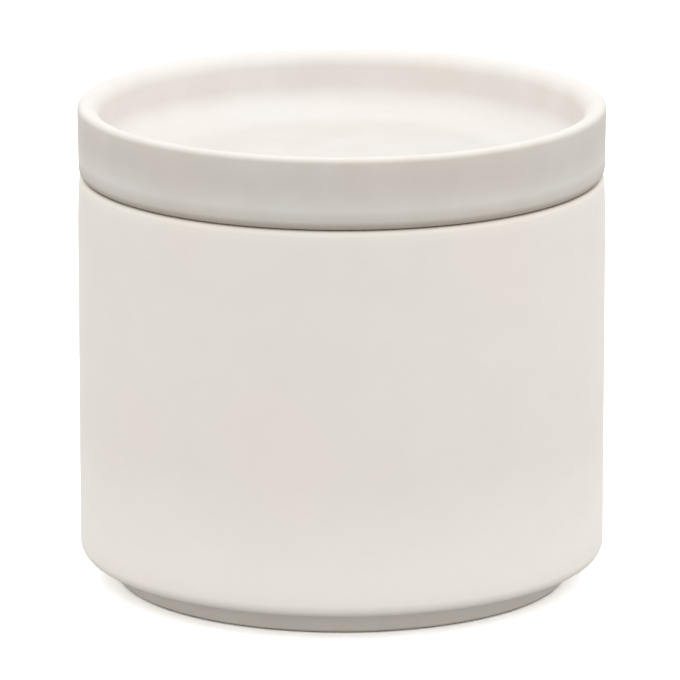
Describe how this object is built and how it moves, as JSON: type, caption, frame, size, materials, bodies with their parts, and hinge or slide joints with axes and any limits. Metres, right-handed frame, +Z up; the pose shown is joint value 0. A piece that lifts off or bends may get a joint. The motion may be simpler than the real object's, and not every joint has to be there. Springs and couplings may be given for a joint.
{
  "type": "lidded ceramic jar",
  "caption": "Round straight-sided ceramic jar on a narrower foot ring, with a flush lift-off lid whose top is a shallow rimmed dish.",
  "frame": {"origin": "centre of the foot ring's lower face, on the table", "axes": "+Z up along the axis of revolution, from the foot to the lid"},
  "size_m": [0.1, 0.1, 0.092],
  "materials": {
    "jar_glaze": "satin off-white glaze, bare clay on the foot ring's lower face and on the rim that the lid rests on",
    "lid_glaze": "satin off-white glaze, thinner and a shade greyer down the outside of the rim, bare clay on the seat round the locating ring"
  },
  "bodies": {
    "jar_body": {"jar": "jar_glaze"},
    "lid_body": {"lid": "lid_glaze"}
  },
  "joints": [
    {"name": "lid_lift", "type": "slide", "parent": "jar_body", "child": "lid_body", "axis": [0, 0, 1], "range_m": [0, 0.06]}
  ]
}
